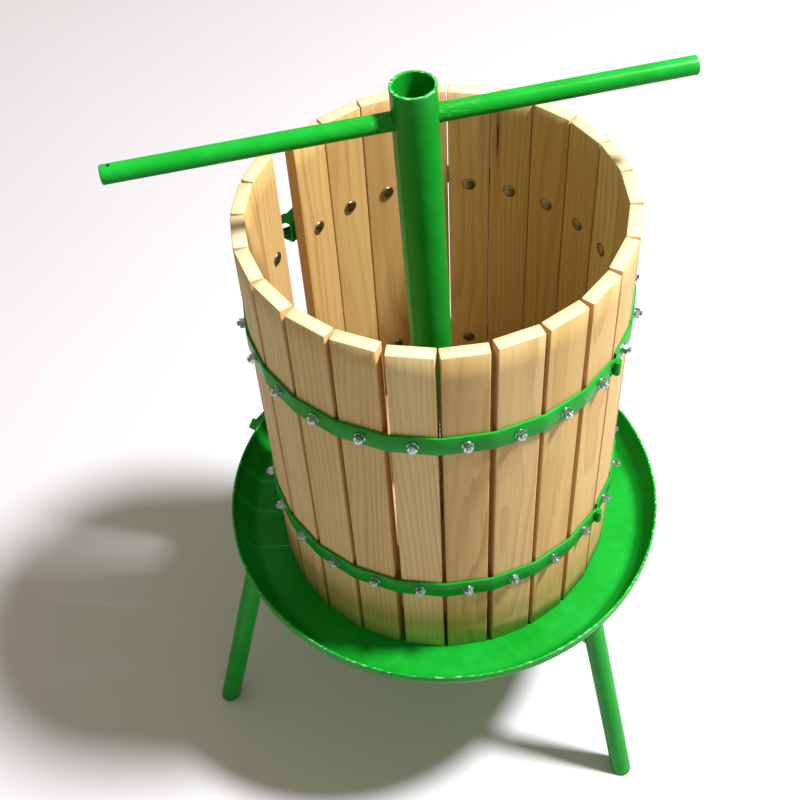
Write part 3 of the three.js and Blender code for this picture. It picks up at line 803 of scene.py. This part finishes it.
def hoop_strip(half, z):
    """The strip, drawn flat onto each slat by its bolts and bent between two."""
    rear = half == "rear"
    side = BASKET_HALVES[half]
    pitch = REAR_PITCH if rear else SLAT_PITCH
    start = REAR_HINGE_AZIMUTH if rear else HINGE_AZIMUTH
    seat = HOOP_SEAT_R - (REAR_INSET if rear else 0)
    bend = HOOP_BEND_R - (REAR_INSET if rear else 0)
    centre = REAR_CENTRE if rear else Vector((0, 0, 0))
    last = (SLATS_PER_HALF - 0.5) * pitch
    edge = math.degrees((SLAT_WIDTH / 2 - HOOP_END_INSET) / bend)
    clear = math.degrees((KNUCKLE_R + 1 * MM) / bend)
    outline = filleted(box_outline(0, HOOP_THICKNESS, z - HOOP_WIDTH / 2, z + HOOP_WIDTH / 2), 0.9 * MM, 2)
    steps = SLATS_PER_HALF * 12
    rings = []
    for k in range(steps + 1):
        along = clear + (last + edge - clear) * k / steps
        index = min(math.floor(along / pitch), SLATS_PER_HALF - 1)
        radius = min(seat / math.cos(math.radians(along - (index + 0.5) * pitch)), bend)
        angle = math.radians(start + side * along)
        out = Vector((math.sin(angle), -math.cos(angle), 0))
        rings.append([centre + out * (radius + x) + Vector((0, 0, height)) for x, height in outline])
    return loft(rings)


def make_hoop(level, half):
    z = HOOP_LEVELS[level]
    side = BASKET_HALVES[half]
    spans = [(z - KNUCKLE_MIDDLE, z + KNUCKLE_MIDDLE)]
    if half == "front":
        inner = KNUCKLE_MIDDLE + KNUCKLE_GAP
        spans = [(z - KNUCKLE_HALF, z - inner), (z + inner, z + KNUCKLE_HALF)]
    to_hinge = Matrix.Rotation(math.radians(HINGE_AZIMUTH), 4, "Z")
    to_barrel = to_hinge @ Matrix.Translation((0, -KNUCKLE_AXIS_R, 0))
    tab_inner, tab_outer = KNUCKLE_TAB
    bore = HINGE_PIN_R + 0.25 * MM
    joined = [hoop_strip(half, z)]
    holes = []
    for z0, z1 in spans:
        reach = side * (KNUCKLE_R + 3 * MM)
        tab = prism(box_outline(min(0, reach), max(0, reach), -tab_outer, -tab_inner), z0, z1, 0.3 * MM)
        tab.transform(to_hinge)
        barrel = round_ring(bore, KNUCKLE_R, z0, z1, 0.5 * MM, 40)
        barrel.transform(to_barrel)
        hole = solid_turned([(bore, z0 - 5 * MM), (bore, z1 + 5 * MM)], 40)
        hole.transform(to_barrel)
        joined += [tab, barrel]
        holes.append(hole)
    hoop = combined("DIFFERENCE", combined("UNION", *joined), *holes)
    paint_piece(f"{level}_strip_{half}", hoop, press_place, f"basket_{half}", f"{level}_hoop_{half}")


def make_hinge_pin(level):
    """A plain rod with eased ends, painted over with the hinge."""
    half = KNUCKLE_HALF + HINGE_PIN_PROUD
    r = HINGE_PIN_R
    ends = [(0.3 * MM, half), (r - 0.5 * MM, half), (r, half - 0.5 * MM)]
    profile = [(radius, -z) for radius, z in ends] + [(radius, z) for radius, z in reversed(ends)]
    place = turned_to(HINGE_AZIMUTH) @ Matrix.Translation((0, -KNUCKLE_AXIS_R, HOOP_LEVELS[level]))
    paint_piece(f"pin_{level}", solid_turned(profile, 32), place, "basket_front", f"hinge_pin_{level}")


# ---- fasteners: drawn along +Z, from the inside of the basket outwards ----


def carriage_bolt():
    """Domed head below Z = 0, shank and threaded end above it."""
    grip = SLAT_THICKNESS + (HOOP_SEAT_R - BASKET_R) + HOOP_THICKNESS + WASHER_HEIGHT + NUT_HEIGHT
    profile = []
    for k in range(9):
        turn = math.pi / 2 * k / 8
        radius = max(BOLT_HEAD_R * math.sin(turn), 0.3 * MM)
        profile.append((radius, -0.5 * MM - (BOLT_HEAD_HEIGHT - 0.5 * MM) * math.cos(turn)))
    z = grip - BOLT_THREAD
    profile += [(BOLT_HEAD_R, -0.1 * MM), (BOLT_HEAD_R - 0.4 * MM, 0)]
    profile += [(BOLT_R, 0.02 * MM), (BOLT_R, z)]
    end = grip + BOLT_PROUD
    while z < end - BOLT_PITCH:
        profile += [(BOLT_R - 0.45 * MM, z + BOLT_PITCH * 0.5), (BOLT_R, z + BOLT_PITCH)]
        z += BOLT_PITCH
    profile += [(BOLT_R - 0.7 * MM, end), (0.3 * MM, end)]
    mesh = to_mesh(solid_turned(profile, 28))
    for polygon in mesh.polygons:
        polygon.material_index = 1 if polygon.center.z > 1 * MM else 0
    return mesh


def hex_nut(flats, height, bore, edge_drop, segments=32):
    """A hexagon nut with its corners turned off at both ends, from Z = 0."""
    corner = flats / math.sqrt(3)
    block = prism(hexagon(flats), 0, height)
    inner = flats / 2 * 0.96
    barrel = solid_turned(
        [
            (inner, -0.01 * MM),
            (corner * 1.01, edge_drop),
            (corner * 1.01, height - edge_drop),
            (inner, height + 0.01 * MM),
        ],
        segments * 2,
    )
    hole = solid_turned([(bore, -height), (bore, height * 2)], segments)
    return combined("DIFFERENCE", combined("INTERSECT", block, barrel), hole)


def make_fasteners():
    dice = random.Random(BOLT_SEED)
    bolt = carriage_bolt()
    washer = to_mesh(round_ring(BOLT_R + 0.15 * MM, WASHER_R, 0, WASHER_HEIGHT, 0.25 * MM, 40))
    nut = to_mesh(hex_nut(NUT_FLATS, NUT_HEIGHT, BOLT_R + 0.05 * MM, 0.8 * MM))
    seat = HOOP_SEAT_R + HOOP_THICKNESS + 0.05 * MM
    outwards = Matrix.Rotation(math.radians(90), 4, "X")  # +Z turns to -Y, away from the axis
    for half in BASKET_HALVES:
        for level, z in HOOP_LEVELS.items():
            bolts, washers, nuts = [], [], []
            for i in range(SLATS_PER_HALF):
                place = turned_on_half(half, slat_azimuth(half, i))
                spin = Matrix.Rotation(dice.uniform(0, TAU), 4, "Z")
                head = Matrix.Translation((0, -BASKET_R + SLAT_THICKNESS, z))
                base = Matrix.Translation((0, -seat, z))
                top = Matrix.Translation((0, -seat - WASHER_HEIGHT, z))
                bolts.append(place @ head @ outwards @ spin)
                washers.append(place @ base @ outwards)
                nuts.append(place @ top @ outwards @ spin)
            body = f"basket_{half}"
            still = Matrix.Identity(4)
            # Bolt heads in a painted dark colour for reflected shade; shanks and threaded ends in zinc.
            shanks = steel_piece(f"slat_bolts_{half}_{level}", stamped(bolt, bolts), still, body, BOLT_HEAD_PAINTED_SHADE)
            shanks.data.materials.append(ZINC)
            steel_piece(f"slat_washers_{half}_{level}", stamped(washer, washers), still, body, ZINC)
            steel_piece(f"slat_nuts_{half}_{level}", stamped(nut, nuts), still, body, ZINC, smooth=25)


# ---- latches ----


def bail_path():
    """The loop's centre line from the tip at +Z, its lower half the mirror of the upper."""
    h = BAIL_HALF_HEIGHT
    bend = 4 * MM
    corners = [(0, h, "x"), (BAIL_LENGTH, h, "z")]
    points = [Vector((0, 0, BAIL_TIP)), Vector((0, 0, h + bend * 1.5))]
    for x, z, kind in corners:
        into = Vector((x, 0, z + bend)) if kind == "x" else Vector((x - bend, 0, z))
        out = Vector((x + bend, 0, z)) if kind == "x" else Vector((x, 0, z - bend))
        middle = Vector((x, 0, z))
        for k in range(7):
            t = k / 6
            points.append(into * (1 - t) ** 2 + middle * 2 * t * (1 - t) + out * t**2)
    lower = [Vector((p.x, p.y, -p.z)) for p in reversed(points)]
    return points + lower


def make_latches():
    for level in HOOP_LEVELS:
        pivot = Vector(joints[f"bail_swing_{level}"]["pos_m"])
        swing = Matrix.Rotation(math.radians(REAR_LATCH_AZIMUTH - BAIL_SWING), 4, "Z")
        place = Matrix.Translation(pivot) @ swing
        wire = swept(bail_path(), BAIL_WIRE_R, 16)
        body = f"latch_bail_{level}"
        stands_for = [f"latch_bail_{level}"]
        add_piece(f"bail_wire_{level}", wire, place, body, "dark_steel", BLACK_STEEL, stands_for)
        eased_node(f"latch_base_{level}", "basket_rear", 0.4 * MM)
        eased_node(f"latch_lever_{level}", f"latch_lever_{level}", 0.4 * MM)
        eased_node(f"latch_catch_{level}", "basket_front", 0.4 * MM)


# ---- screw work ----


def thread_radius(phase):
    """Radius at a phase of 0 to 1 across one pitch of a trapezoidal thread."""
    crest_end = THREAD_FLANK + THREAD_CREST
    steps = [(0, 0), (THREAD_FLANK, 1), (crest_end, 1), (crest_end + THREAD_FLANK, 0), (1, 0)]
    for (p0, h0), (p1, h1) in zip(steps, steps[1:]):
        if phase <= p1:
            height = h0 + (h1 - h0) * (phase - p0) / (p1 - p0)
            return THREAD_R - THREAD_DEPTH * (1 - height)
    return THREAD_R - THREAD_DEPTH


def make_spindle():
    """A rod whose thread is one continuous helical surface, cut level at both ends."""
    low, high = SPINDLE_Z
    around = 40
    crest_end = THREAD_FLANK + THREAD_CREST
    phases = (0, THREAD_FLANK, crest_end, crest_end + THREAD_FLANK)
    turns = math.ceil((high - low) / THREAD_LEAD) + 1
    bm = bmesh.new()
    rows = []
    for turn in range(-1, turns):
        for phase in phases:
            row = []
            for i in range(around):
                z = low + THREAD_LEAD * (turn + phase + i / around)
                level = min(max(z, low), high)
                end = min(level - low, high - level)
                radius = min(thread_radius(phase), THREAD_R - 3 * MM + end)
                angle = TAU * i / around
                row.append(bm.verts.new((radius * math.cos(angle), radius * math.sin(angle), level)))
            rows.append(row)
    skip = len(phases)
    for low_row, high_row in zip(rows, rows[1:]):
        for i in range(around - 1):
            bm.faces.new((low_row[i], low_row[i + 1], high_row[i + 1], high_row[i]))
    for k in range(len(rows) - skip - 1):
        a, b = rows[k], rows[k + 1]
        c, d = rows[k + skip], rows[k + skip + 1]
        bm.faces.new((a[-1], c[0], d[0], b[-1]))
    bmesh.ops.remove_doubles(bm, verts=bm.verts, dist=1e-6)
    bmesh.ops.dissolve_degenerate(bm, dist=1e-7, edges=bm.edges)
    open_edges = [e for e in bm.edges if len(e.link_faces) == 1]
    bmesh.ops.holes_fill(bm, edges=open_edges)
    bmesh.ops.recalc_face_normals(bm, faces=bm.faces)
    steel_piece("threaded_spindle", bm, screw_place, "frame", TURNED_STEEL, "spindle", smooth=30)


def make_press_head():
    bore = THREAD_R + 0.35 * MM
    spigot = TUBE_BORE_R - 0.3 * MM
    corners = [
        (bore, NUT_FLANGE_Z[0]),
        (NUT_FLANGE_R, NUT_FLANGE_Z[0]),
        (NUT_FLANGE_R, NUT_FLANGE_Z[1]),
        (spigot, NUT_FLANGE_Z[1]),
        (spigot, NUT_TOP),
        (bore, NUT_TOP),
    ]
    nut = turned(filleted(corners, 0.8 * MM))
    steel_piece("nut_body", nut, screw_place, "press_head", TURNED_STEEL, "press_nut")
    foot, mouth = TUBE_Z
    below = mouth - 3 * MM
    corners = [(TUBE_BORE_R, foot), (TUBE_R, foot), (TUBE_R, below)]
    corners += [(TUBE_R, mouth), (TUBE_BORE_R, mouth), (TUBE_BORE_R, below)]
    wall = turned(filleted(corners, 0.9 * MM, keep=(2, 5)), 128)
    hole = solid_turned([(BAR_R + 0.3 * MM, -60 * MM), (BAR_R + 0.3 * MM, 60 * MM)], 64)
    hole.transform(Matrix.Translation((0, 0, BAR_Z)) @ bar_turn @ Matrix.Rotation(math.radians(90), 4, "Y"))
    tube = combined("DIFFERENCE", wall, hole)
    ease(tube, 0.5 * MM, 2, 60)
    top = screw_place @ Vector((0, 0, mouth))

    # Painted highlight: the edge of the tube's mouth is painted paler.
    def wear(point):
        at_rim = (point - top).length < TUBE_R + 2 * MM and point.z > top.z - 2 * MM
        return TUBE_RIM_HIGHLIGHT if at_rim else 0.0

    paint_piece("press_pipe", tube, screw_place, "press_head", "press_tube", wear=wear)


def make_crossbar():
    """A round bar along local X, with eased ends and a small hole near the left one."""
    left, right = BAR_ENDS
    stations = []
    for k in range(5):
        turn = math.pi / 2 * k / 4
        radius = BAR_R - BAR_CHAMFER * (1 - math.sin(turn))
        stations.append((radius, left + BAR_CHAMFER * (1 - math.cos(turn))))
    stations += [(BAR_R, left + (right - left) * k / 60) for k in range(1, 60)]
    for k in range(5):
        turn = math.pi / 2 * k / 4
        radius = BAR_R - BAR_CHAMFER * (1 - math.cos(turn))
        stations.append((radius, right - BAR_CHAMFER * (1 - math.sin(turn))))
    rod = solid_turned(stations, 56)
    rod.transform(Matrix.Rotation(math.radians(90), 4, "Y"))
    hole = solid_turned([(BAR_HOLE_R, -20 * MM), (BAR_HOLE_R, 20 * MM)], 32)
    hole.transform(Matrix.Translation((left + BAR_HOLE_INSET, 0, 0)))
    bar = combined("DIFFERENCE", rod, hole)
    middle = bar_place @ Vector((0, 0, 0))
    tips = [bar_place @ Vector((x, 0, 0)) for x in BAR_ENDS]

    def wear(point):
        slide = max(0.0, 1 - max(0.0, (point - middle).length - 35 * MM) / (45 * MM))
        tip = max(0.0, 1 - min((point - t).length for t in tips) / (12 * MM))
        return max(SLIDE_WEAR * slide, TIP_WEAR * tip)

    paint_piece("turning_bar", bar, bar_place, "crossbar", "crossbar", wear=wear)


def make_screw_details():
    ring = round_ring(THREAD_R + 1 * MM, RING_R, *RING_Z, 0.8 * MM)
    steel_piece("thrust_washer", ring, screw_place, "thrust_ring", TURNED_STEEL, "thrust_ring")
    collar = round_ring(THREAD_R + 0.3 * MM, COLLAR_R, *COLLAR_Z, 1 * MM)
    paint_piece("collar_ring", collar, screw_place, "frame", "spindle_collar")
    low, high = BASE_NUT_Z
    nut = hex_nut(BASE_NUT_FLATS, high - low, THREAD_R + 0.3 * MM, 2.5 * MM, 48)
    place = screw_place @ Matrix.Translation((0, 0, low))
    steel_piece("base_hex_nut", nut, place, "frame", ZINC, "base_nut", smooth=25)


# ---- pressing plate ----


def make_plate_half(half, side, dice):
    """A half disc of glued boards with a half-round notch for the collar."""
    start = math.asin(PLATE_SPLIT / 2 / PLATE_R)
    inner_start = math.asin(PLATE_SPLIT / 2 / PLATE_HOLE_R)
    outer = [start + (math.pi - 2 * start) * k / 72 for k in range(73)]
    inner = [math.pi - inner_start - (math.pi - 2 * inner_start) * k / 36 for k in range(37)]
    outline = [(PLATE_R * math.cos(a), side * PLATE_R * math.sin(a)) for a in outer]
    outline += [(PLATE_HOLE_R * math.cos(a), side * PLATE_HOLE_R * math.sin(a)) for a in inner]
    bm = prism(outline, *PLATE_Z)
    ease(bm, 1.5 * MM, 2, 50)
    grain = bm.verts.layers.float_vector.new("grain")
    tone_and_painted_light = bm.verts.layers.float.new("tone_and_painted_light")
    pith = Vector((dice.uniform(-0.02, 0.02), -0.12, dice.uniform(-5, 5)))
    shade = dice.uniform(-0.8, 0.6)
    for vertex in bm.verts:
        x, y, z = vertex.co
        vertex[grain] = Vector((y * 0.55, z, x)) + pith
        vertex[tone_and_painted_light] = shade
    name = f"plate_{half}"
    wood_piece(f"half_disc_{half}", bm, press_place, "pressing_plate", "plate_wood", PLATE_WOOD, name)


def make_pressing_plate():
    dice = random.Random(PLATE_SEED)
    for half, side in (("front", -1), ("back", 1)):
        make_plate_half(half, side, dice)
    pieces = [
        ("batten", "front", "X"),
        ("batten", "back", "X"),
        ("block", "left", "Y"),
        ("block", "right", "Y"),
    ]
    for kind, which, direction in pieces:
        low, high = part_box(f"{kind}_{which}")
        size = high - low
        along = size.x if direction == "X" else size.y
        across = size.y if direction == "X" else size.x
        bm = board(across, size.z, along, dice)
        lay = Matrix.Rotation(math.radians(90), 4, "Y" if direction == "X" else "X")
        if direction == "X":
            lay = lay @ Matrix.Rotation(math.radians(90), 4, "Z")
        middle = Matrix.Translation((low + high) / 2) @ lay @ Matrix.Translation((0, 0, -along / 2))
        name = f"{kind}_{which}"
        wood_piece(f"{kind}_board_{which}", bm, middle, "pressing_plate", "plate_wood", PLATE_WOOD, name)


# ---- light, floor and camera ----

CAMERA_ELEVATION = 49.25
CAMERA_DISTANCE = 1.561
CAMERA_ROLL = -3.78
CAMERA_LENS = 56.7
AIM_OFFSET = Vector((-49.7 * MM, 0, 231.5 * MM))  # from the press axis at the tray floor
SUN_ELEVATION = 61
SUN_AZIMUTH = 84.5
LIGHT_DISTANCE = 4.0
FLOOR_REACH = 25
KEY_SIZE = 0.55
KEY_POWER = 410
KEY_COLOUR = (1.0, 0.985, 1.0)
WORLD_STRENGTH = 0.40
BACKDROP = (1.2, 1.2, 1.18)
HORIZON_LIGHT = (0.46, 0.42, 0.21)
ZENITH_LIGHT = (1.35, 1.24, 0.92)


def add_camera():
    data = bpy.data.cameras.new("camera")
    data.lens = CAMERA_LENS
    data.sensor_width = 36
    camera = bpy.data.objects.new("camera", data)
    bpy.context.scene.collection.objects.link(camera)
    elevation = math.radians(CAMERA_ELEVATION)
    back = Vector((0, -math.cos(elevation), math.sin(elevation)))
    camera.matrix_world = (
        Matrix.Translation(AXIS + AIM_OFFSET + back * CAMERA_DISTANCE)
        @ Matrix.Rotation(math.radians(90) - elevation, 4, "X")
        @ Matrix.Rotation(math.radians(CAMERA_ROLL), 4, "Z")
    )
    bpy.context.scene.camera = camera


def add_key_light():
    """A disc of light aimed at the basket, from the sun's azimuth and elevation."""
    data = bpy.data.lights.new("key", "AREA")
    data.shape = "DISK"
    data.size = KEY_SIZE
    data.energy = KEY_POWER
    data.color = KEY_COLOUR
    light = bpy.data.objects.new("key", data)
    bpy.context.scene.collection.objects.link(light)
    a, e = math.radians(SUN_AZIMUTH), math.radians(SUN_ELEVATION)
    away = Vector((math.sin(a) * math.cos(e), -math.cos(a) * math.cos(e), math.sin(e)))
    target = AXIS + Vector((0, 0, SLAT_HEIGHT / 2))
    light.location = target + away * LIGHT_DISTANCE
    light.rotation_mode = "QUATERNION"
    light.rotation_quaternion = away.to_track_quat("Z", "Y")


def make_world():
    """Soft light all round, warm near the horizon and whiter overhead, before a pale backdrop."""
    world = bpy.data.worlds.new("studio")
    world.use_nodes = True
    tree = world.node_tree
    background = tree.nodes["Background"]
    direction = node(tree, "TexCoord").outputs["Generated"]
    height = node(tree, "SeparateXYZ", {"Vector": direction}).outputs["Z"]
    factor = remap(tree, height, (0.05, 0.75), (0, 1), smooth=True)
    colour = blend_colours(tree, factor, HORIZON_LIGHT, ZENITH_LIGHT)
    seen = node(tree, "LightPath").outputs["Is Camera Ray"]
    tree.links.new(blend_colours(tree, seen, colour, BACKDROP), background.inputs["Color"])
    background.inputs["Strength"].default_value = WORLD_STRENGTH
    bpy.context.scene.world = world


def add_studio():
    make_world()
    add_key_light()
    bpy.context.scene.view_settings.view_transform = "Standard"

    bm = bmesh.new()
    bmesh.ops.create_grid(bm, x_segments=8, y_segments=8, size=FLOOR_REACH)
    mesh = to_mesh(bm)
    pale, tree, shader = new_finish("pale_floor", Roughness=0.9)
    place = node(tree, "TexCoord").outputs["Object"]
    colour = blend_colours(tree, noise(tree, place, 1.5), (0.50, 0.495, 0.53), (0.53, 0.525, 0.56))
    tree.links.new(colour, shader.inputs["Base Color"])
    mesh.materials.append(pale)
    floor = bpy.data.objects.new("studio_floor", mesh)
    bpy.context.scene.collection.objects.link(floor)


# ---- the press ----

add_camera()
add_studio()
make_tray()
make_legs()
make_welds()
make_slats()
for hoop_level in HOOP_LEVELS:
    for hoop_half in BASKET_HALVES:
        make_hoop(hoop_level, hoop_half)
    make_hinge_pin(hoop_level)
make_fasteners()
make_latches()
make_spindle()
make_press_head()
make_crossbar()
make_screw_details()
make_pressing_plate()
